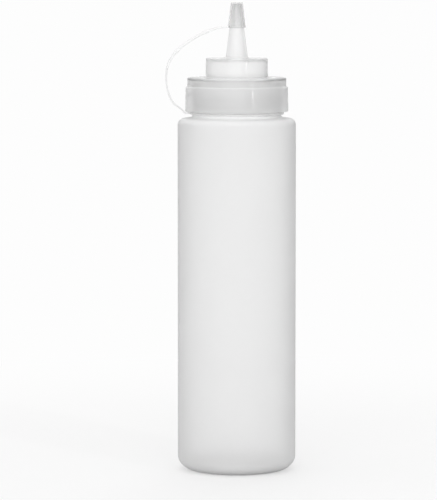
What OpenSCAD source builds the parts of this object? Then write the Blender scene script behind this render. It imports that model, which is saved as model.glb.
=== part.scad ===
// Squeeze bottle for sauce with a screw lid, a tapered spout and a tip cap on a tether strap.
// Millimetres. +Z is up, the origin is the middle of the base, and the strap loops out on the -X side.

/* [Bottle] */
// Outer radius of the straight body
body_r = 33; // [31.5:0.5:36]
// Height of the shoulder where it meets the neck
shoulder_h = 198; // [120:1:230]
// Thickness of the blown wall
body_wall = 1; // [0.8:0.1:1.2]
// Thickness of the floor
floor_t = 1.5; // [1.2:0.1:2]
// Inner radius of the ring that the bottle stands on
stand_in_r = 17; // [14:0.5:20]
// Outer radius of the ring that the bottle stands on
stand_out_r = 23; // [21:0.5:25]
// Rise of the dished floor above the standing ring
dish_h = 3; // [1.5:0.5:5]
// Height of the rounded corner round the base
base_corner_h = 8; // [6:0.5:12]
// Radius of the rounded corner at the shoulder
shoulder_corner = 3.7; // [3:0.1:5]

/* [Neck] */
// Outer radius of the neck between its threads
neck_r = 24.7; // [24.5:0.1:24.8]
// Wall of the neck
neck_wall = 1.5; // [1.2:0.1:1.8]
// Height of the rim above the shoulder
neck_h = 19.7; // [19.5:0.1:20]
// Radius of the fillet between neck and shoulder
neck_fillet = 1.6; // [1:0.1:1.7]

/* [Thread] */
// Rise in one full turn
thread_lead = 4.5; // [4.3:0.1:4.8]
// Turns of thread on the neck
neck_turns = 2.13; // [1.5:0.01:2.15]
// Turns of thread in the lid
lid_turns = 2.05; // [1.5:0.01:2.1]
// How far the neck thread stands out
neck_thread_depth = 1.3; // [1:0.1:1.4]
// How far the lid thread stands in
lid_thread_depth = 1.5; // [1.2:0.1:1.5]
// Gap between the flanks that carry the tightened lid
flank_gap = 0.25; // [0.2:0.05:0.5]

/* [Lid] */
// Outer radius of the skirt at its lower edge
skirt_r = 28.8; // [28.6:0.1:29.2]
// Gap between the skirt and the shoulder
skirt_gap = 3.4; // [3.2:0.1:3.6]
// Inner radius of the skirt
skirt_bore_r = 26.75; // [26.6:0.05:26.9]
// Outer radius of the narrower band above the skirt
band_r = 27.6; // [27.6:0.05:28]
// Height of the ledge between skirt and band, from the skirt's lower edge
ledge_h = 13.2; // [11:0.2:14.5]
// Thickness of the deck that closes the skirt
deck_t = 1.5; // [1.2:0.1:2]
// Outer radius of the drum on the deck
drum_r = 17.35; // [15:0.05:20]
// Height of the drum
drum_h = 10.8; // [8:0.1:14]
// Wall of the drum
drum_wall = 1.4; // [1.2:0.1:1.8]

/* [Spout] */
// Outer radius of the spout at its root
spout_root_r = 6.1; // [5.9:0.05:6.3]
// Outer radius of the spout at its tip
spout_tip_r = 2.45; // [2.3:0.05:2.5]
// Radius of the bore at the root
bore_root_r = 4.7; // [4:0.05:4.9]
// Radius of the bore at the tip
bore_tip_r = 1.5; // [1.45:0.05:1.6]
// Length of the spout
spout_h = 29.9; // [28:0.1:32]

/* [Tip cap] */
// Outer radius at the top
cap_top_r = 3.35; // [3.3:0.05:3.6]
// Outer radius at the mouth
cap_mouth_r = 4.75; // [4.7:0.05:5]
// Height of the cap
cap_h = 14.2; // [13:0.1:14.4]
// Radius of the pin that stops the spout's tip
pin_r = 1.35; // [1:0.05:1.35]
// Length of the pin below the inside of the cap's top
pin_l = 3; // [1:0.1:4]
// Gap between the cap and the spout
cap_gap = 0.12; // [0.1:0.01:0.15]

/* [Tether] */
// Wall of the ring round the neck
ring_wall = 1.55; // [1.4:0.05:1.6]
// Thickness of the ring
ring_t = 1.1; // [0.9:0.05:1.2]
// Running gap between the ring and the neck
ring_gap = 0.05; // [0.02:0.01:0.1]
// Width of the strap
strap_w = 2.4; // [1.8:0.1:3]
// Thickness of the strap
strap_t = 1; // [0.8:0.1:1.2]
// Most that the strap's upper half is twisted about its own line, in degrees
strap_twist = 24; // [0:1:30]

/* [Hidden] */
$fn = 96;

// Steps in a quarter turn of a rounded corner
arc_steps = 6;

// Heights along the axis
rim_z = shoulder_h + neck_h;
skirt_z = shoulder_h + skirt_gap;
washer_t = 1;
deck_low = rim_z + washer_t;
deck_top = deck_low + deck_t;
drum_top = deck_top + drum_h;
spout_top = drum_top + spout_h;
cap_headroom = 0.3;
cap_roof = 0.8;
cap_inside = spout_top + cap_headroom;
cap_top = cap_inside + cap_roof;
cap_mouth = cap_top - cap_h;
spout_slope = (spout_root_r - spout_tip_r) / spout_h;

// Thread sections: width at the root, width at the crest, and depth sunk into the wall
neck_rib = [2.6, 1.2];
lid_rib = [2.2, 0.9];
rib_sunk = 0.5;
rib_steps_per_turn = 36;
rib_fade = 32;
neck_thread_z = shoulder_h + 7.8;
neck_thread_angle = 174;
rib_mid_r = (neck_r + neck_thread_depth + skirt_bore_r - lid_thread_depth) / 2;
neck_rib_half = rib_width(neck_rib, (rib_mid_r - neck_r) / neck_thread_depth) / 2;
lid_rib_half = rib_width(lid_rib, (skirt_bore_r - rib_mid_r) / lid_thread_depth) / 2;
lid_thread_z = neck_thread_z - neck_rib_half - lid_rib_half - flank_gap;

// Tether ring and its tab, whose end is where the strap starts
ring_r = neck_r + ring_gap;
ring_z = shoulder_h + 1.7;
tab_size = [2.6, 3, 1];
tab_end = [-27.6, ring_z + 0.65];
boss_size = [1.4, 2.4, 1];
boss_end = [-5.9, cap_mouth + 0.55];

// Line of the strap in the XZ plane, as [x, z] from the end of the tab, and the point at which the
// lower half meets the upper
strap_route = [[0, 0], [-1.3, 0.1], [-2.7, 1.7], [-5, 3.5], [-7.4, 5.2], [-9.4, 8.3],
               [-10.8, 12.2], [-11.6, 16.5], [-11.7, 21], [-11.2, 25], [-9.9, 29], [-7.7, 32.4],
               [-5.5, 34.9], [-3, 37.2], [0.8, 39.9], [4.6, 42.3], [8.4, 44.3], [13.1, 46.2],
               [18, 47.5], boss_end - tab_end];
strap_split = 9;
route_steps = 3;

// Section of the dished floor, as shares of its radius and rise, from the axis to the standing ring
dish = [[0, 1], [0.55, 0.72], [0.85, 0.28], [1, 0]];

// Points on a quarter or other arc, as [r, z], about c from angle a to angle b
function arc(c, r, a, b, n = arc_steps) =
    [for (i = [0 : n]) c + r * [cos(a + (b - a) * i / n), sin(a + (b - a) * i / n)]];

// The same on an ellipse with half axes s
function ellipse_arc(c, s, a, b, n = arc_steps) =
    [for (i = [0 : n]) let (t = a + (b - a) * i / n) [c[0] + s[0] * cos(t), c[1] + s[1] * sin(t)]];

// Width of a thread rib at a share of its depth from root to crest
function rib_width(rib, share) = rib[0] + (rib[1] - rib[0]) * share;

// Smooth step from 0 to 1
function ease(t) = let (u = min(max(t, 0), 1)) u * u * (3 - 2 * u);

// Catmull-Rom curve through the points p, with n steps between each pair
function curve(p, n) = let (m = len(p) - 1)
    [for (i = [0 : m - 1], j = [0 : n - 1]) spline(p[max(i - 1, 0)], p[i], p[i + 1],
                                                  p[min(i + 2, m)], j / n), p[m]];
function spline(a, b, c, d, t) =
    0.5 * (2 * b + (c - a) * t + (2 * a - 5 * b + 4 * c - d) * t * t
           + (3 * b - a - 3 * c + d) * t * t * t);

// Faces of a tube of closed rings with k points each, wound for rings that turn anticlockwise
// about the way the tube runs
function tube_faces(rings, k) = concat(
    [[for (i = [0 : k - 1]) i]],
    [for (i = [0 : rings - 2], j = [0 : k - 1]) let (a = i * k + j, b = i * k + (j + 1) % k)
        each [[a, b + k, b], [a, a + k, b + k]]],
    [[for (i = [k - 1 : -1 : 0]) (rings - 1) * k + i]]);

// Helical rib that rises by lead in a turn and fades into the wall at both ends
module helix_rib(wall_r, depth, rib, turns, z, angle) {
    n = ceil(turns * rib_steps_per_turn);
    way = sign(depth);
    root_r = wall_r - way * rib_sunk;
    total = abs(depth) + rib_sunk;
    points = [for (i = [0 : n])
        let (along = 360 * turns * i / n,
             fade = min(1, 0.2 + 0.8 * min(along, 360 * turns - along) / rib_fade),
             r = root_r + way * total * fade,
             mid = z + thread_lead * along / 360,
             root = rib[0] / 2 * (0.5 + 0.5 * fade),
             crest = rib[1] / 2 * (0.5 + 0.5 * fade),
             a = angle + along)
        each [for (q = [[root_r, -root], [r, -crest], [r, crest], [root_r, root]])
            [q[0] * cos(a), q[0] * sin(a), mid + q[1]]]];
    faces = tube_faces(n + 1, 4);
    polyhedron(points, way > 0 ? [for (f = faces) [for (i = [len(f) - 1 : -1 : 0]) f[i]]] : faces);
}

// Flat strap swept along its route from one of its points to another, square at the route's ends
// and twisted along its upper part
module strap(from, to) {
    line = curve([for (p = strap_route) tab_end + p], route_steps);
    n = len(line) - 1;
    first = from * route_steps;
    last = to * route_steps;
    w = strap_w / 2;
    t = strap_t / 2;
    section = [[w, -0.5 * t], [w, 0.5 * t], [0.8 * w, t], [-0.8 * w, t],
               [-w, 0.5 * t], [-w, -0.5 * t], [-0.8 * w, -t], [0.8 * w, -t]];
    points = [for (i = [first : last])
        let (d = line[min(i + 1, n)] - line[max(i - 1, 0)],
             u = i == 0 || i == n ? [sign(d[0]), 0] : d / norm(d),
             turn = strap_twist * ease(3 * i / n - 1) * ease(6 - 6 * i / n))
        each [for (q = section)
            let (y = q[0] * cos(turn) - q[1] * sin(turn), s = q[0] * sin(turn) + q[1] * cos(turn))
            [line[i][0] - s * u[1], y, line[i][1] + s * u[0]]]];
    polyhedron(points, tube_faces(last - first + 1, len(section)));
}

// Blow-moulded bottle: dished floor, straight body, rounded shoulder and threaded neck
module bottle_body() {
    side_top = shoulder_h - 0.4 - shoulder_corner;
    corner_r = body_r - shoulder_corner;
    bore_r = neck_r - neck_wall;
    rim_round = 0.4;
    base_mid = [stand_out_r, base_corner_h];
    outside = concat(
        [for (q = dish) [stand_in_r * q[0], dish_h * q[1]]],
        ellipse_arc(base_mid, [body_r - stand_out_r, base_corner_h], -90, 0, 8),
        arc([corner_r, side_top], shoulder_corner, 0, 85),
        arc([neck_r + neck_fillet, shoulder_h + neck_fillet], neck_fillet, -90, -180, 5),
        arc([neck_r - rim_round, rim_z - rim_round], rim_round, 0, 90, 3),
        arc([bore_r + rim_round, rim_z - rim_round], rim_round, 90, 180, 3));
    inside = concat(
        [[bore_r, shoulder_h + 0.2], [bore_r + 1.2, shoulder_h - 1.2]],
        arc([corner_r, side_top], shoulder_corner - body_wall, 85, 0),
        ellipse_arc(base_mid, [body_r - stand_out_r - body_wall, base_corner_h - floor_t], 0, -90, 8),
        [for (i = [len(dish) - 1 : -1 : 0]) [stand_in_r * dish[i][0], floor_t + dish_h * dish[i][1]]]);
    color([0.93, 0.94, 0.94, 0.8]) union() {
        rotate_extrude() polygon(concat(outside, inside));
        helix_rib(neck_r, neck_thread_depth, neck_rib, neck_turns, neck_thread_z, neck_thread_angle);
    }
}

// Screw lid in one moulding: threaded skirt, band, deck, hollow drum and tapered spout
module screw_lid() {
    ledge_z = skirt_z + ledge_h;
    drum_taper = 0.15;
    band_round = 0.8;
    drum_round = 0.6;
    root_fillet = 1;
    tip_round = 0.3;
    outside = concat(
        arc([skirt_r - 0.4, skirt_z + 0.4], 0.4, -90, 0, 3),
        [[skirt_r - 0.3, ledge_z]],
        [[band_r + 0.5, ledge_z + 0.6], [band_r + 0.1, ledge_z + 0.8], [band_r, ledge_z + 1.1]],
        arc([band_r - band_round, deck_top - band_round], band_round, 0, 90, 5),
        arc([drum_r + 0.5, deck_top + 0.5], 0.5, -90, -180, 3),
        arc([drum_r - drum_taper - drum_round, drum_top - drum_round], drum_round, 0, 90, 4),
        arc([spout_root_r + root_fillet, drum_top + root_fillet], root_fillet, -90, -176, 4),
        [[spout_tip_r + spout_slope * tip_round, spout_top - tip_round],
         [spout_tip_r - tip_round, spout_top]]);
    inside = concat(
        [[bore_tip_r, spout_top], [bore_root_r, drum_top],
         [bore_root_r + 0.4, drum_top - drum_wall - 0.1]],
        arc([drum_r - drum_taper - drum_wall - 0.6, drum_top - drum_wall - 0.7], 0.6, 90, 0, 3),
        [[drum_r - drum_wall, deck_top], [drum_r - drum_wall, deck_low]],
        arc([skirt_bore_r - 0.3, deck_low - 0.3], 0.3, 90, 0, 3),
        [[skirt_bore_r, skirt_z + 0.5], [skirt_bore_r + 0.4, skirt_z]]);
    color([0.86, 0.88, 0.89, 0.7]) union() {
        rotate_extrude() polygon(concat(outside, inside));
        helix_rib(skirt_bore_r, -lid_thread_depth, lid_rib, lid_turns, lid_thread_z,
                  neck_thread_angle);
    }
}

// Flat washer that the lid presses on the rim
module sealing_washer() {
    color([0.95, 0.95, 0.95, 0.8]) rotate_extrude()
        translate([neck_r - neck_wall - 0.6, rim_z]) square([3.7, washer_t]);
}

// Snap ring round the neck below the thread, with the tab that the strap grows from
module tether_ring() {
    ring_edge = 0.3;
    color([0.95, 0.96, 0.96, 0.8]) union() {
        rotate_extrude() translate([ring_r, ring_z])
            polygon([[0, 0], [ring_wall - ring_edge, 0], [ring_wall, ring_edge],
                     [ring_wall, ring_t - ring_edge], [ring_wall - ring_edge, ring_t], [0, ring_t]]);
        translate([tab_end[0], -tab_size[1] / 2, tab_end[1] - tab_size[2] / 2]) cube(tab_size);
    }
}

// Lower half of the strap, from the ring's tab up round the outside of the loop
module strap_lower() {
    color([0.96, 0.97, 0.97, 0.8]) strap(0, strap_split);
}

// Upper half of the strap, from the middle of the loop to the tip cap
module strap_upper() {
    color([0.96, 0.97, 0.97, 0.8]) strap(strap_split, len(strap_route) - 1);
}

// Tapered tip cap with a pin that stops the spout, and the boss that the strap joins
module tip_cap() {
    mouth_bore = spout_tip_r + spout_slope * (spout_top - cap_mouth) + cap_gap;
    top_bore = spout_tip_r + cap_gap;
    bead_r = cap_mouth_r + 0.12;
    pin_low = cap_inside - pin_l;
    profile = concat(
        [[0, pin_low], [pin_r - 0.25, pin_low], [pin_r, pin_low + 0.4], [pin_r, cap_inside],
         [top_bore, cap_inside], [mouth_bore, cap_mouth],
         [bead_r - 0.2, cap_mouth], [bead_r, cap_mouth + 0.2], [bead_r, cap_mouth + 1.4],
         [cap_mouth_r - 0.05, cap_mouth + 1.8]],
        arc([cap_top_r - 0.5, cap_top - 0.5], 0.5, 0, 90, 4),
        [[0, cap_top]]);
    color([0.82, 0.84, 0.85, 0.7]) union() {
        rotate_extrude() polygon(profile);
        translate([boss_end[0], -boss_size[1] / 2, boss_end[1] - boss_size[2] / 2]) cube(boss_size);
    }
}

bottle_body();
screw_lid();
sealing_washer();
tether_ring();
strap_lower();
strap_upper();
tip_cap();
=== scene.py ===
from math import atan2, cos, degrees, hypot, pi, radians, sin

import bpy
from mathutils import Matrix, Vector


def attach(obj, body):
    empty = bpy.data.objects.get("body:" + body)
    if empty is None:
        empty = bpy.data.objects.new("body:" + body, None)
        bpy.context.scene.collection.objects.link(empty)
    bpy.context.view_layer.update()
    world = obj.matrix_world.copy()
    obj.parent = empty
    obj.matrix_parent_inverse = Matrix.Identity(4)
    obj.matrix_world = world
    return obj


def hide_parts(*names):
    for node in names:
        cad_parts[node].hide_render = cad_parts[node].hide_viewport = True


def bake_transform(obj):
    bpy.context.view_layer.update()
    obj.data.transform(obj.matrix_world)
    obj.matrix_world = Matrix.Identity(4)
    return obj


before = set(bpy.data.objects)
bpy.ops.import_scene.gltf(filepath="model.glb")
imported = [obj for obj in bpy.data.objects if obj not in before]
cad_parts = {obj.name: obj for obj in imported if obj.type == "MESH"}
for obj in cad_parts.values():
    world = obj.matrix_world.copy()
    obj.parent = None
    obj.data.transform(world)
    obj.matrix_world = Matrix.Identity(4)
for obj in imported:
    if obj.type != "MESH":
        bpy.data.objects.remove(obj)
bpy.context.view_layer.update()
mm = 0.001
print("frame loaded:", ", ".join(sorted(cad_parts)))


# Small tools for edit mode

def calm():
    if bpy.context.mode != "OBJECT":
        bpy.ops.object.mode_set(mode="OBJECT")
    bpy.ops.object.select_all(action="DESELECT")


def only(piece):
    calm()
    piece.select_set(True)
    bpy.context.view_layer.objects.active = piece
    return piece


def edit(piece, mode="VERT"):
    only(piece)
    bpy.ops.object.mode_set(mode="EDIT")
    bpy.ops.mesh.select_mode(type=mode)
    bpy.ops.mesh.select_all(action="DESELECT")


def pick(piece, test):
    # selects the vertices that pass the test, from object mode, and goes back to edit mode
    bpy.ops.object.mode_set(mode="OBJECT")
    for v in piece.data.vertices:
        v.select = test(v.co)
    bpy.ops.object.mode_set(mode="EDIT")


def done(piece, smoothAngle=32):
    only(piece)
    bpy.ops.object.transform_apply(location=True, rotation=True, scale=True)
    bpy.ops.object.shade_smooth_by_angle(angle=radians(smoothAngle))
    return piece


def applied(piece, kind, **settings):
    only(piece)
    modifier = piece.modifiers.new(kind.lower(), kind)
    for key, value in settings.items():
        setattr(modifier, key, value)
    bpy.ops.object.modifier_apply(modifier=modifier.name)
    return piece


def arc(centreR, centreZ, radius, fromDeg, toDeg, steps, flat=None):
    # points of an arc as (radius, height); flat is the half height where it's an ellipse
    up = radius if flat is None else flat
    angles = [radians(fromDeg + (toDeg - fromDeg) * i / steps) for i in range(steps + 1)]
    return [(centreR + radius * cos(a), centreZ + up * sin(a)) for a in angles]


def turned(name, outline, around, toAxis=False):
    # a ring of edges, extruded and scaled about the axis from point to point of the outline
    calm()
    (r, z) = outline[0]
    bpy.ops.mesh.primitive_circle_add(vertices=around, radius=r * mm, location=(0, 0, z * mm))
    piece = bpy.context.object
    piece.name = piece.data.name = name
    bpy.ops.object.transform_apply(location=True)
    bpy.ops.object.mode_set(mode="EDIT")
    bpy.ops.mesh.select_mode(type="VERT")
    bpy.ops.mesh.select_all(action="SELECT")
    for r1, z1 in outline[1:]:
        bpy.ops.mesh.extrude_region_move(TRANSFORM_OT_translate={"value": (0, 0, (z1 - z) * mm)})
        bpy.ops.transform.resize(value=(r1 / r, r1 / r, 1), center_override=(0, 0, z1 * mm))
        r, z = r1, z1
    if toAxis:
        bpy.ops.mesh.extrude_region_move()
        bpy.ops.mesh.merge(type="CENTER")
        firstR, firstZ = outline[0]
        bpy.ops.mesh.select_all(action="DESELECT")
        pick(piece, lambda c: abs(c.z - firstZ * mm) < 1e-6 and hypot(c.x, c.y) < firstR * mm * 1.01)
        bpy.ops.mesh.extrude_region_move()
        bpy.ops.mesh.merge(type="CENTER")
    else:
        bpy.ops.mesh.select_all(action="DESELECT")
        bpy.ops.mesh.select_non_manifold(use_wire=False, use_multi_face=False,
                                         use_non_contiguous=False, use_verts=False)
        bpy.ops.mesh.bridge_edge_loops()
    bpy.ops.mesh.select_all(action="SELECT")
    bpy.ops.mesh.remove_doubles(threshold=1e-7)
    bpy.ops.mesh.normals_make_consistent(inside=False)
    bpy.ops.object.mode_set(mode="OBJECT")
    return piece


def joined(piece, other):
    # boolean union that leaves one closed skin
    applied(piece, "BOOLEAN", operation="UNION", object=other, solver="MANIFOLD")
    bpy.data.objects.remove(other, do_unlink=True)
    return piece


def helix(name, wallR, depth, root, crest, turns, lead, startZ, startDeg, fadeDeg=32, sunk=0.5):
    # a rib's section, turned up the screw, then let down into the wall at both ends
    way = 1 if depth > 0 else -1
    rootR, crestR = wallR - way * sunk, wallR + depth
    calm()
    bpy.ops.mesh.primitive_plane_add(size=1, location=(0, 0, 0))
    piece = bpy.context.object
    piece.name = piece.data.name = name
    places = {(-1, -1): (rootR, -root / 2), (1, -1): (crestR, -crest / 2),
              (1, 1): (crestR, crest / 2), (-1, 1): (rootR, root / 2)}
    for v in piece.data.vertices:
        corner = (1 if v.co.x > 0 else -1, 1 if v.co.y > 0 else -1)
        r, z = places[corner]
        v.co = (r * mm, 0, z * mm)
    edit(piece, "EDGE")
    bpy.ops.mesh.select_all(action="SELECT")
    bpy.ops.mesh.delete(type="ONLY_FACE")
    bpy.ops.mesh.select_all(action="SELECT")
    bpy.ops.mesh.subdivide(number_cuts=1)
    bpy.ops.object.mode_set(mode="OBJECT")
    steps = int(turns * 96)
    applied(piece, "SCREW", angle=2 * pi * turns, screw_offset=lead * turns * mm, steps=steps,
            render_steps=steps, iterations=1, axis="Z", use_merge_vertices=False)
    for v in piece.data.vertices:
        around = atan2(v.co.y, v.co.x) % (2 * pi)
        # the height says which turn a point is on
        turn = round((v.co.z / mm - lead * around / (2 * pi)) / lead)
        along = degrees(around) + 360 * turn
        fade = min(1, 0.2 + 0.8 * max(0, min(along, 360 * turns - along)) / fadeDeg)
        r = hypot(v.co.x, v.co.y)
        mid = lead * along / 360 * mm
        newR = rootR * mm + (r - rootR * mm) * fade
        v.co.x *= newR / r
        v.co.y *= newR / r
        v.co.z = mid + (v.co.z - mid) * (0.5 + 0.5 * fade)
    edit(piece, "EDGE")
    bpy.ops.mesh.select_non_manifold(use_wire=False, use_multi_face=False,
                                     use_non_contiguous=False, use_verts=False)
    bpy.ops.mesh.edge_face_add()
    bpy.ops.mesh.select_all(action="SELECT")
    bpy.ops.mesh.normals_make_consistent(inside=False)
    bpy.ops.object.mode_set(mode="OBJECT")
    piece.location = (0, 0, startZ * mm)
    piece.rotation_euler = (0, 0, radians(startDeg))
    only(piece)
    bpy.ops.object.transform_apply(location=True, rotation=True)
    return piece


# Materials

def partOf(tree, vector, axis):
    parts = tree.nodes.new("ShaderNodeSeparateXYZ")
    tree.links.new(vector, parts.inputs["Vector"])
    return parts.outputs[axis]


def paired(tree, operation, first, second=None):
    # a sum of one or two outputs; second may be a number
    sums = tree.nodes.new("ShaderNodeMath")
    sums.operation = operation
    tree.links.new(first, sums.inputs[0])
    if isinstance(second, float):
        sums.inputs[1].default_value = second
    elif second is not None:
        tree.links.new(second, sums.inputs[1])
    return sums.outputs["Value"]


def ranged(tree, value, fromMin, fromMax, toMin, toMax):
    spread = tree.nodes.new("ShaderNodeMapRange")
    spread.inputs["From Min"].default_value = fromMin
    spread.inputs["From Max"].default_value = fromMax
    spread.inputs["To Min"].default_value = toMin
    spread.inputs["To Max"].default_value = toMax
    tree.links.new(value, spread.inputs["Value"])
    return spread.outputs["Result"]


def drift(tree, place, scale, detail, low, high):
    # slow noise over the piece, from low to high; low and high are both numbers or both colours
    noise = tree.nodes.new("ShaderNodeTexNoise")
    noise.inputs["Scale"].default_value = scale
    noise.inputs["Detail"].default_value = detail
    tree.links.new(place.outputs["Object"], noise.inputs["Vector"])
    if isinstance(low, tuple):
        colours = tree.nodes.new("ShaderNodeValToRGB")
        for stop, where, colour in zip(colours.color_ramp.elements, (0.3, 0.7), (low, high)):
            stop.position = where
            stop.color = (*colour, 1)
        tree.links.new(noise.outputs["Fac"], colours.inputs["Fac"])
        return colours.outputs["Color"]
    return ranged(tree, noise.outputs["Fac"], 0, 1, low, high)


def grained(tree, place, shader, grain):
    # fine moulded skin
    skin = tree.nodes.new("ShaderNodeTexNoise")
    skin.inputs["Scale"].default_value = grain["scale"]
    skin.inputs["Detail"].default_value = 2
    tree.links.new(place.outputs["Object"], skin.inputs["Vector"])
    relief = tree.nodes.new("ShaderNodeBump")
    relief.inputs["Strength"].default_value = grain["strength"]
    relief.inputs["Distance"].default_value = grain["depth"] * mm
    tree.links.new(skin.outputs["Fac"], relief.inputs["Height"])
    tree.links.new(relief.outputs["Normal"], shader.inputs["Normal"])


def letThrough(tree, place, shader, f):
    # light that meets the skin from the air is partly sent back, more on level faces than on
    # upright ones and most on the bare strip of the neck; light inside the wall always goes on
    level = paired(tree, "ABSOLUTE", partOf(tree, place.outputs["Normal"], "Z"))
    share = ranged(tree, level, 0, 1, 1 - f["milk"], 1 - f["levelMilk"])
    if "neckMilk" in f:
        low, high, edge, milk = f["neckMilk"]
        height = partOf(tree, place.outputs["Object"], "Z")
        below = ranged(tree, height, low * mm, (low + edge) * mm, 1, 1 - milk)
        above = ranged(tree, height, (high - edge) * mm, high * mm, 1 - milk, 1)
        share = paired(tree, "MULTIPLY", share, paired(tree, "MAXIMUM", below, above))
    side = tree.nodes.new("ShaderNodeNewGeometry")
    clear = paired(tree, "MAXIMUM", share, side.outputs["Backfacing"])
    tree.links.new(clear, shader.inputs["Transmission Weight"])


def plastic(name, f):
    material = bpy.data.materials.new(name)
    material.use_nodes = True
    tree = material.node_tree
    shader = tree.nodes["Principled BSDF"]
    place = tree.nodes.new("ShaderNodeTexCoord")
    colour = drift(tree, place, f["mottle"], 3, f["dull"], f["pale"])
    tree.links.new(colour, shader.inputs["Base Color"])
    tree.links.new(drift(tree, place, f["mottle"] * 4, 4, *f["rough"]), shader.inputs["Roughness"])
    grained(tree, place, shader, f["grain"])
    shader.inputs["IOR"].default_value = f["ior"]
    if "milk" in f:
        letThrough(tree, place, shader, f)
        # light dies away along its path in the wall, so thick places and edges look greyer
        depth = tree.nodes.new("ShaderNodeVolumeAbsorption")
        depth.inputs["Color"].default_value = (0.5, 0.5, 0.5, 1)
        depth.inputs["Density"].default_value = 2 * f["loss"]
        tree.links.new(depth.outputs["Volume"], tree.nodes["Material Output"].inputs["Volume"])
    if "shine" in f:
        shader.inputs["Coat Weight"].default_value = f["shine"]
        shader.inputs["Coat Roughness"].default_value = coatRough
    return material


coatRough = 0.06
finishes = {
    "milkyBody": {
        "pale": (0.98, 0.98, 0.98), "dull": (0.965, 0.965, 0.965), "mottle": 45,
        "rough": (0.4, 0.52), "ior": 1.15, "milk": 0.35, "levelMilk": 0.8, "loss": 52,
        "neckMilk": (197.8, 203, 1.4, 0.65),  # lowest and highest point, soft edge, share
        "grain": {"scale": 900, "strength": 0.12, "depth": 0.08},
    },
    "cloudyLid": {
        "pale": (0.995, 0.995, 0.995), "dull": (0.985, 0.985, 0.985), "mottle": 60,
        "rough": (0.28, 0.31), "ior": 1.15, "milk": 0.28, "levelMilk": 0.6, "loss": 12, "shine": 0.3,
        "grain": {"scale": 700, "strength": 0.05, "depth": 0.05},
    },
    "cloudyCap": {
        "pale": (0.98, 0.98, 0.98), "dull": (0.965, 0.965, 0.965), "mottle": 90,
        "rough": (0.22, 0.26), "ior": 1.25, "milk": 0.1, "levelMilk": 0.6, "loss": 6, "shine": 0.3,
        "grain": {"scale": 900, "strength": 0.05, "depth": 0.05},
    },
    # the ring is a paler, clearer copy of the strap plastic, as painted light in the shade under the
    # lid's skirt
    "litTetherRing": {
        "pale": (0.995, 0.995, 0.995), "dull": (0.985, 0.985, 0.985), "mottle": 80,
        "rough": (0.2, 0.26), "ior": 1.12, "milk": 0.6, "levelMilk": 0.7, "loss": 6,
        "grain": {"scale": 900, "strength": 0.05, "depth": 0.05},
    },
    # the strap is one plastic in two copies: this lower copy is darker, as painted shade
    "shadedLowStrap": {
        "pale": (0.96, 0.96, 0.96), "dull": (0.94, 0.94, 0.94), "mottle": 80,
        "rough": (0.45, 0.55), "ior": 1.08, "milk": 0.3, "levelMilk": 0.4, "loss": 80,
        "grain": {"scale": 900, "strength": 0.05, "depth": 0.05},
    },
    # the upper copy of the strap plastic is paler, as painted light
    "litHighStrap": {
        "pale": (0.945, 0.945, 0.945), "dull": (0.92, 0.92, 0.92), "mottle": 80,
        "rough": (0.45, 0.55), "ior": 1.1, "milk": 0.7, "levelMilk": 0.8, "loss": 12,
        "grain": {"scale": 900, "strength": 0.05, "depth": 0.05},
    },
    "foamWasher": {
        "pale": (0.93, 0.93, 0.92), "dull": (0.88, 0.88, 0.87), "mottle": 300,
        "rough": (0.7, 0.85), "ior": 1.45, "grain": {"scale": 2500, "strength": 0.5, "depth": 0.1},
    },
}
bodyPlastic = plastic("milkyBody", finishes["milkyBody"])
lidPlastic = plastic("cloudyLid", finishes["cloudyLid"])
capPlastic = plastic("cloudyCap", finishes["cloudyCap"])
litTetherRingPlastic = plastic("litTetherRing", finishes["litTetherRing"])
shadedLowStrapPlastic = plastic("shadedLowStrap", finishes["shadedLowStrap"])
litHighStrapPlastic = plastic("litHighStrap", finishes["litHighStrap"])
washerFoam = plastic("foamWasher", finishes["foamWasher"])
print("materials made")


def wear(piece, material, node, body=None):
    piece.data.materials.clear()
    piece.data.materials.append(material)
    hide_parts(node)
    if body:
        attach(piece, body)


# Bottle

bottle = {
    "bodyR": 33, "wall": 1.0, "floor": 1.5, "standR": (17, 23), "dish": 3.0, "cornerR": 10,
    "cornerH": 8, "shoulderZ": 198, "shoulderR": 3.7, "neckR": 24.7, "neckWall": 1.5, "rimZ": 217.7,
    "neckFillet": 1.6, "around": 180,
}
thread = {
    "lead": 4.5, "turns": 2.13, "depth": 1.3, "root": 2.6, "crest": 1.2, "startZ": 205.8,
    "startDeg": 174, "lidTurns": 2.05, "lidDepth": -1.5, "lidRoot": 2.2, "lidCrest": 0.9,
    "lidStartZ": 204.134,
}


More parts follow.
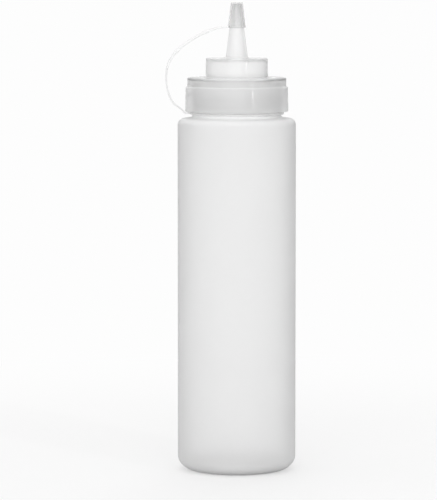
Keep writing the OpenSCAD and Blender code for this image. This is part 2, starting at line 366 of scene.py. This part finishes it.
def makeBottle(b):
    sideTop = b["shoulderZ"] - 0.4 - b["shoulderR"]
    shoulderMid = b["bodyR"] - b["shoulderR"]
    bore = b["neckR"] - b["neckWall"]
    standIn, standOut = b["standR"]
    dish = [(0.25, 1), (3, 0.99), (6, 0.93), (9, 0.74), (12, 0.45), (14.5, 0.2), (16.2, 0.05)]
    outside = [(r, b["dish"] * share) for r, share in dish] + [(standIn, 0)]
    outside += [(standOut - 3, 0)]
    outside += arc(standOut, b["cornerH"], b["cornerR"], -90, 0, 14, flat=b["cornerH"])
    outside += [(b["bodyR"], z) for z in (14, 30, 50, 70, 90, 110, 130, 150, 170, 182, 188)]
    outside += arc(shoulderMid, sideTop, b["shoulderR"], 0, 85, 10)
    outside += arc(b["neckR"] + b["neckFillet"], b["shoulderZ"] + b["neckFillet"], b["neckFillet"],
                   -90, -180, 7)
    outside += [(b["neckR"], 203), (b["neckR"], 210)]
    outside += arc(b["neckR"] - 0.4, b["rimZ"] - 0.4, 0.4, 0, 90, 4)
    outside += arc(bore + 0.4, b["rimZ"] - 0.4, 0.4, 90, 180, 4)
    inside = [(bore, 210), (bore, 203), (bore, b["shoulderZ"] + 0.2),
              (bore + 0.3, b["shoulderZ"] - 0.7), (bore + 1.2, b["shoulderZ"] - 1.2)]
    inside += arc(shoulderMid, sideTop, b["shoulderR"] - b["wall"], 85, 0, 8)
    inside += [(b["bodyR"] - b["wall"], z) for z in (182, 150, 110, 70, 30)]
    inside += arc(standOut, b["cornerH"], b["cornerR"] - b["wall"], 0, -90, 12,
                  flat=b["cornerH"] - b["floor"])
    inside += [(r, b["floor"] + b["dish"] * share) for r, share in reversed(dish)]
    piece = turned("bottleShell", outside + inside, b["around"], toAxis=True)
    rib = helix("neckRib", b["neckR"], thread["depth"], thread["root"], thread["crest"],
                thread["turns"], thread["lead"], thread["startZ"], thread["startDeg"])
    return done(joined(piece, rib))


bottleShell = makeBottle(bottle)
wear(bottleShell, bodyPlastic, "bottle_body", "bottle")
print("bottle:", len(bottleShell.data.polygons), "faces")


# Lid

lid = {
    "skirtZ": 201.4, "skirtR": 28.8, "skirtBore": 26.75, "ledgeZ": 214.6, "bandR": 27.6,
    "deckLow": 218.7, "deckTop": 220.2, "drumR": 17.35, "drumTaper": 0.15, "drumTop": 231.0,
    "drumWall": 1.4, "spoutR": (6.1, 2.45), "spoutBore": (4.7, 1.5), "spoutTop": 260.9, "around": 180,
}


def makeLid(k):
    slope = (k["spoutR"][0] - k["spoutR"][1]) / (k["spoutTop"] - k["drumTop"])
    drumEdge = k["drumR"] - k["drumTaper"]
    outside = arc(k["skirtR"] - 0.4, k["skirtZ"] + 0.4, 0.4, -90, 0, 4)
    outside += [(k["skirtR"] - 0.3, k["ledgeZ"]), (k["bandR"] + 0.55, k["ledgeZ"] + 0.55),
                (k["bandR"] + 0.12, k["ledgeZ"] + 0.78), (k["bandR"], k["ledgeZ"] + 1.1)]
    outside += arc(k["bandR"] - 0.8, k["deckTop"] - 0.8, 0.8, 0, 90, 6)
    outside += arc(k["drumR"] + 0.5, k["deckTop"] + 0.5, 0.5, -90, -180, 4)
    outside += arc(drumEdge - 0.6, k["drumTop"] - 0.6, 0.6, 0, 90, 6)
    outside += arc(k["spoutR"][0] + 1, k["drumTop"] + 1, 1.0, -90, -176, 6)
    outside += [(k["spoutR"][1] + slope * (k["spoutTop"] - z), z) for z in (238, 246, 254)]
    outside += [(k["spoutR"][1] + slope * 0.3, k["spoutTop"] - 0.3),
                (k["spoutR"][1] + slope * 0.1 - 0.1, k["spoutTop"] - 0.08),
                (k["spoutR"][1] - 0.3, k["spoutTop"])]
    inside = [(k["spoutBore"][1] + 0.1, k["spoutTop"]), (k["spoutBore"][1], k["spoutTop"] - 0.1),
              (k["spoutBore"][0], k["drumTop"]),
              (k["spoutBore"][0] + 0.4, k["drumTop"] - k["drumWall"] - 0.1)]
    inside += arc(drumEdge - k["drumWall"] - 0.6, k["drumTop"] - k["drumWall"] - 0.7, 0.6, 90, 0, 4)
    inside += [(k["drumR"] - k["drumWall"], k["deckTop"]), (k["drumR"] - k["drumWall"], k["deckLow"])]
    inside += arc(k["skirtBore"] - 0.3, k["deckLow"] - 0.3, 0.3, 90, 0, 4)
    inside += [(k["skirtBore"], 210), (k["skirtBore"], k["skirtZ"] + 0.5),
               (k["skirtBore"] + 0.4, k["skirtZ"])]
    piece = turned("screwLid", outside + inside, k["around"])
    rib = helix("lidRib", k["skirtBore"], thread["lidDepth"], thread["lidRoot"], thread["lidCrest"],
                thread["lidTurns"], thread["lead"], thread["lidStartZ"], thread["startDeg"])
    return done(joined(piece, rib))


screwLid = makeLid(lid)
wear(screwLid, lidPlastic, "screw_lid", "lid")
print("lid:", len(screwLid.data.polygons), "faces")


# Washer

washer = {"innerR": 22.6, "outerR": 26.3, "low": 217.7, "high": 218.7, "edge": 0.15}


def makeWasher(w):
    e = w["edge"]
    outline = [(w["innerR"] + e, w["low"]), (w["outerR"] - e, w["low"]), (w["outerR"], w["low"] + e),
               (w["outerR"], w["high"] - e), (w["outerR"] - e, w["high"]),
               (w["innerR"] + e, w["high"]), (w["innerR"], w["high"] - e),
               (w["innerR"], w["low"] + e)]
    return done(turned("sealWasher", outline, 144), 40)


sealWasher = makeWasher(washer)
wear(sealWasher, washerFoam, "sealing_washer", "lid_carrier")
print("washer:", len(sealWasher.data.polygons), "faces")


# Tether ring and its tab

ring = {"boreR": 24.75, "outerR": 26.3, "low": 199.7, "high": 200.8, "tab": (2.6, 3.0, 1.0),
        "tabEnd": (-27.6, 200.35), "edge": 0.3}


def makeRing(t):
    e = t["edge"]
    outline = [(t["boreR"], t["low"]), (t["outerR"] - e, t["low"])]
    outline += arc(t["outerR"] - e, t["low"] + e, e, -90, 0, 4)[1:]
    outline += arc(t["outerR"] - e, t["high"] - e, e, 0, 90, 4)
    outline += [(t["boreR"], t["high"])]
    piece = turned("tetherRing", outline, 160)
    calm()
    length, width, thick = t["tab"]
    bpy.ops.mesh.primitive_cube_add(size=1, location=((t["tabEnd"][0] + length / 2) * mm, 0,
                                                      t["tabEnd"][1] * mm),
                                    scale=(length * mm, width * mm, thick * mm))
    tab = bpy.context.object
    bpy.ops.object.transform_apply(location=True, rotation=True, scale=True)
    applied(tab, "BEVEL", width=0.3 * mm, segments=3, limit_method="ANGLE")
    return done(joined(piece, tab), 40)


tetherRing = makeRing(ring)
# the ring wears the paler copy of the tether plastic, as painted light
wear(tetherRing, litTetherRingPlastic, "tether_ring", "tether")
print("tether ring:", len(tetherRing.data.polygons), "faces")


# Strap, in two halves that meet in the middle of its loop; the halves wear a shaded and a lit copy of
# one plastic, as painted shade and painted light

strap = {
    "width": 2.4, "thick": 1.0, "twist": 24, "split": 9, "perStep": 6, "sides": 16,
    "start": (-27.6, 200.35), "end": (-5.9, 248.35), "padR": 1.7, "padRise": 0.7,
    "pads": [(-33.3, 234.6), (-16.9, 245.4)],
    "route": [(0, 0), (-1.3, 0.1), (-2.7, 1.7), (-5, 3.5), (-7.4, 5.2), (-9.4, 8.3), (-10.8, 12.2),
              (-11.6, 16.5), (-11.7, 21), (-11.2, 25), (-9.9, 29), (-7.7, 32.4), (-5.5, 34.9),
              (-3, 37.2), (0.8, 39.9), (4.6, 42.3), (8.4, 44.3), (13.1, 46.2), (18, 47.5)],
}


def curvePoint(a, b, c, d, t):
    return tuple(0.5 * (2 * q + (r - p) * t + (2 * p - 5 * q + 4 * r - s) * t * t
                        + (3 * q - p - 3 * r + s) * t ** 3) for p, q, r, s in zip(a, b, c, d))


def ease(t):
    u = min(max(t, 0), 1)
    return u * u * (3 - 2 * u)


def strapLine(s):
    sx, sz = s["start"]
    route = [(sx + x, sz + z) for x, z in s["route"]] + [s["end"]]
    last = len(route) - 1
    line = []
    for i in range(last):
        a, d = route[max(i - 1, 0)], route[min(i + 2, last)]
        for j in range(s["perStep"]):
            line.append(curvePoint(a, route[i], route[i + 1], d, j / s["perStep"]))
    return line + [route[last]]


def makeStrapHalf(name, s, fromRing, toRing):
    # rounded section, extruded ring by ring along the line, each ring then set square to it
    line = strapLine(s)
    n = len(line) - 1
    sides = s["sides"]
    calm()
    bpy.ops.mesh.primitive_circle_add(vertices=sides, radius=mm)
    piece = bpy.context.object
    piece.name = piece.data.name = name
    bpy.ops.object.mode_set(mode="EDIT")
    bpy.ops.mesh.select_all(action="SELECT")
    for i in range(fromRing, toRing):
        bpy.ops.mesh.extrude_region_move()
    bpy.ops.object.mode_set(mode="OBJECT")
    halfW, halfT = s["width"] / 2, s["thick"] / 2
    for k, v in enumerate(piece.data.vertices):
        i, j = fromRing + k // sides, k % sides
        (x, z), before, after = line[i], line[max(i - 1, 0)], line[min(i + 1, n)]
        dx, dz = after[0] - before[0], after[1] - before[1]
        long = hypot(dx, dz)
        ux, uz = (dx / long, dz / long) if 0 < i < n else (1 if dx > 0 else -1, 0)
        turn = radians(s["twist"]) * ease(3 * i / n - 1) * ease(6 - 6 * i / n)
        # small round pads where the mould's pins pushed
        fat = max(1 - (hypot(x - px, z - pz) / s["padR"]) ** 2 for px, pz in s["pads"])
        thick = halfT * (1 + s["padRise"] * max(0, fat) ** 0.5)
        a = 2 * pi * (j + 0.5) / sides
        # a box with well rounded corners
        p = halfW * abs(cos(a)) ** 0.5 * (1 if cos(a) > 0 else -1)
        q = thick * abs(sin(a)) ** 0.5 * (1 if sin(a) > 0 else -1)
        y, up = p * cos(turn) - q * sin(turn), p * sin(turn) + q * cos(turn)
        v.co = Vector((x - up * uz, y, z + up * ux)) * mm
    edit(piece, "EDGE")
    bpy.ops.mesh.select_non_manifold(use_wire=False, use_multi_face=False,
                                     use_non_contiguous=False, use_verts=False)
    bpy.ops.mesh.edge_face_add()
    bpy.ops.mesh.select_all(action="SELECT")
    bpy.ops.mesh.normals_make_consistent(inside=False)
    bpy.ops.object.mode_set(mode="OBJECT")
    return done(piece, 50)


strapPoints = strapLine(strap)
lineLength = sum(hypot(b[0] - a[0], b[1] - a[1]) for a, b in zip(strapPoints, strapPoints[1:]))
print("strap line:", round(lineLength, 1), "mm")
splitRing = strap["split"] * strap["perStep"]
ringCount = len(strapPoints) - 1
# lower half in the darker copy (painted shade), upper half in the paler copy (painted light)
strapLower = makeStrapHalf("strapLower", strap, 0, splitRing)
wear(strapLower, shadedLowStrapPlastic, "strap_lower")
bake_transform(strapLower)
strapUpper = makeStrapHalf("strapUpper", strap, splitRing, ringCount)
wear(strapUpper, litHighStrapPlastic, "strap_upper")
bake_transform(strapUpper)


# Tip cap with its stopper pin and the boss of the strap

cap = {
    "topR": 3.35, "mouthR": 4.75, "bead": 0.12, "top": 262.0, "mouth": 247.8, "inside": 261.2,
    "pinR": 1.35, "pinLow": 258.2, "gap": 0.12, "boss": (1.4, 2.4, 1.0), "bossEnd": (-5.9, 248.35),
}


def makeCap(c):
    slope = (lid["spoutR"][0] - lid["spoutR"][1]) / (lid["spoutTop"] - lid["drumTop"])
    mouthBore = lid["spoutR"][1] + slope * (lid["spoutTop"] - c["mouth"]) + c["gap"]
    topBore = lid["spoutR"][1] + c["gap"]
    beadR = c["mouthR"] + c["bead"]
    outline = [(0.2, c["pinLow"]), (c["pinR"] - 0.25, c["pinLow"]), (c["pinR"], c["pinLow"] + 0.4),
               (c["pinR"], c["inside"] - 0.15), (c["pinR"] + 0.15, c["inside"]),
               (topBore - 0.2, c["inside"]), (topBore, c["inside"] - 0.2), (mouthBore, c["mouth"]),
               (beadR - 0.2, c["mouth"])]
    outline += arc(beadR - 0.2, c["mouth"] + 0.2, 0.2, -60, 0, 3)
    outline += [(beadR, c["mouth"] + 1.3), (c["mouthR"] + 0.03, c["mouth"] + 1.55),
                (c["mouthR"] - 0.05, c["mouth"] + 1.8)]
    outline += arc(c["topR"] - 0.5, c["top"] - 0.5, 0.5, 0, 90, 6) + [(0.2, c["top"])]
    piece = turned("tipCap", outline, 96, toAxis=True)
    calm()
    length, width, thick = c["boss"]
    bpy.ops.mesh.primitive_cube_add(size=1, location=((c["bossEnd"][0] + length / 2) * mm, 0,
                                                      c["bossEnd"][1] * mm),
                                    scale=(length * mm, width * mm, thick * mm))
    boss = bpy.context.object
    bpy.ops.object.transform_apply(location=True, rotation=True, scale=True)
    applied(boss, "BEVEL", width=0.25 * mm, segments=3, limit_method="ANGLE")
    return done(joined(piece, boss), 40)


tipCap = makeCap(cap)
wear(tipCap, capPlastic, "tip_cap", "cap")
print("tip cap:", len(tipCap.data.polygons), "faces")


# Floor, white round, lights and camera

studio = {
    "white": 0.983, "domeLight": 1.0, "floorRadius": 3.0, "floorColour": 0.5, "floorLift": 0.46,
    "floorFade": (0.12, 0.5),
    "tent": [(0, 0.75), (0.3, 0.85), (0.42, 0.98), (0.57, 0.98), (0.71, 0.67), (1, 0.45)],
    "distance": 1.85, "height": 0.292, "side": -0.0102, "pitch": 5.2, "focal": 3318, "longSide": 500,
}


def anyRay(tree, path, *names):
    # 1 for the rays of any of these kinds
    total = path.outputs[names[0]]
    for name in names[1:]:
        total = paired(tree, "MAXIMUM", total, path.outputs[name])
    return total


def background(tree, level):
    # a white background; level is a number or an output
    node = tree.nodes.new("ShaderNodeBackground")
    node.inputs["Color"].default_value = (1, 1, 1, 1)
    if isinstance(level, float):
        node.inputs["Strength"].default_value = level
    else:
        tree.links.new(level, node.inputs["Strength"])
    return node.outputs[0]


def mixed(tree, share, first, second):
    mix = tree.nodes.new("ShaderNodeMixShader")
    tree.links.new(share, mix.inputs["Fac"])
    tree.links.new(first, mix.inputs[1])
    tree.links.new(second, mix.inputs[2])
    return mix.outputs[0]


def makeWorld(s):
    # white behind for the camera; gloss and plastic also see the duller sides of the tent
    world = bpy.data.worlds.new("whiteTent")
    bpy.context.scene.world = world
    world.use_nodes = True
    tree = world.node_tree
    tree.nodes.clear()
    path = tree.nodes.new("ShaderNodeLightPath")
    way = tree.nodes.new("ShaderNodeTexCoord")
    across = ranged(tree, partOf(tree, way.outputs["Generated"], "X"), -1, 1, 0, 1)
    tent = tree.nodes.new("ShaderNodeValToRGB")
    stops = tent.color_ramp.elements
    for where, level in s["tent"][1:-1]:
        stops.new(where)
    for stop, (where, level) in zip(stops, s["tent"]):
        stop.position = where
        stop.color = (level, level, level, 1)
    tree.links.new(across, tent.inputs["Fac"])
    dome = paired(tree, "MULTIPLY", tent.outputs["Color"], s["domeLight"])
    lit = mixed(tree, anyRay(tree, path, "Is Glossy Ray", "Is Transmission Ray"),
                background(tree, dome), background(tree, tent.outputs["Color"]))
    shown = mixed(tree, path.outputs["Is Camera Ray"], lit, background(tree, s["white"]))
    out = tree.nodes.new("ShaderNodeOutputWorld")
    tree.links.new(shown, out.inputs["Surface"])


def makeFloor(s):
    # pale and lit near the bottle, plain white further out
    calm()
    bpy.ops.mesh.primitive_circle_add(vertices=96, radius=s["floorRadius"], fill_type="NGON")
    floor = bpy.context.object
    floor.name = "studioFloor"
    material = bpy.data.materials.new("paleFloor")
    material.use_nodes = True
    tree = material.node_tree
    tree.nodes.clear()
    matt = tree.nodes.new("ShaderNodeBsdfDiffuse")
    matt.inputs["Color"].default_value = (s["floorColour"],) * 3 + (1,)
    lift = tree.nodes.new("ShaderNodeEmission")
    path = tree.nodes.new("ShaderNodeLightPath")
    seen = anyRay(tree, path, "Is Camera Ray", "Is Glossy Ray", "Is Transmission Ray")
    tree.links.new(paired(tree, "MULTIPLY", seen, s["floorLift"]), lift.inputs["Strength"])
    near = tree.nodes.new("ShaderNodeAddShader")
    tree.links.new(matt.outputs[0], near.inputs[0])
    tree.links.new(lift.outputs[0], near.inputs[1])
    white = tree.nodes.new("ShaderNodeEmission")
    white.inputs["Strength"].default_value = s["white"]
    place = tree.nodes.new("ShaderNodeTexCoord")
    far = tree.nodes.new("ShaderNodeVectorMath")
    far.operation = "LENGTH"
    tree.links.new(place.outputs["Object"], far.inputs[0])
    fade = ranged(tree, far.outputs["Value"], *s["floorFade"], 0, 1)
    fade.node.interpolation_type = "SMOOTHSTEP"
    out = tree.nodes.new("ShaderNodeOutputMaterial")
    floorSkin = mixed(tree, paired(tree, "MULTIPLY", fade, seen), near.outputs[0], white.outputs[0])
    tree.links.new(floorSkin, out.inputs["Surface"])
    floor.data.materials.append(material)


lamps = [
    {"name": "frontSoftbox", "from": (-0.25, -2.1, 0.5), "to": (0, 0, 0.17), "size": (1.9, 1.3),
     "power": 17.6},
    {"name": "backSoftbox", "from": (0.25, 2.1, 0.5), "to": (0, 0, 0.17), "size": (1.9, 1.3),
     "power": 17.6, "mirrored": False},
    {"name": "rightStrip", "from": (0.62, -0.85, 0.54), "to": (0, 0, 0.2), "size": (0.03, 0.4),
     "power": 1.4},
]


def makeLamps():
    for spec in lamps:
        data = bpy.data.lights.new(spec["name"], "AREA")
        data.shape = "RECTANGLE"
        data.size, data.size_y = spec["size"]
        data.energy = spec["power"]
        lamp = bpy.data.objects.new(spec["name"], data)
        bpy.context.scene.collection.objects.link(lamp)
        lamp.location = spec["from"]
        lamp.visible_camera = lamp.visible_transmission = False
        lamp.visible_glossy = spec.get("mirrored", True)
        aim = Vector(spec["to"]) - Vector(spec["from"])
        lamp.rotation_euler = aim.to_track_quat("-Z", "Y").to_euler()


def makeCamera(s):
    data = bpy.data.cameras.new("photoView")
    data.lens = s["focal"] * data.sensor_width / s["longSide"]  # focal length in pixels
    data.clip_start, data.clip_end = 0.1, 30
    camera = bpy.data.objects.new("photoView", data)
    bpy.context.scene.collection.objects.link(camera)
    camera.location = (s["side"], -s["distance"], s["height"])
    camera.rotation_euler = (radians(90 - s["pitch"]), 0, 0)
    bpy.context.scene.camera = camera


makeWorld(studio)
makeFloor(studio)
makeLamps()
makeCamera(studio)
bpy.context.scene.view_settings.view_transform = "Standard"
print("studio ready")
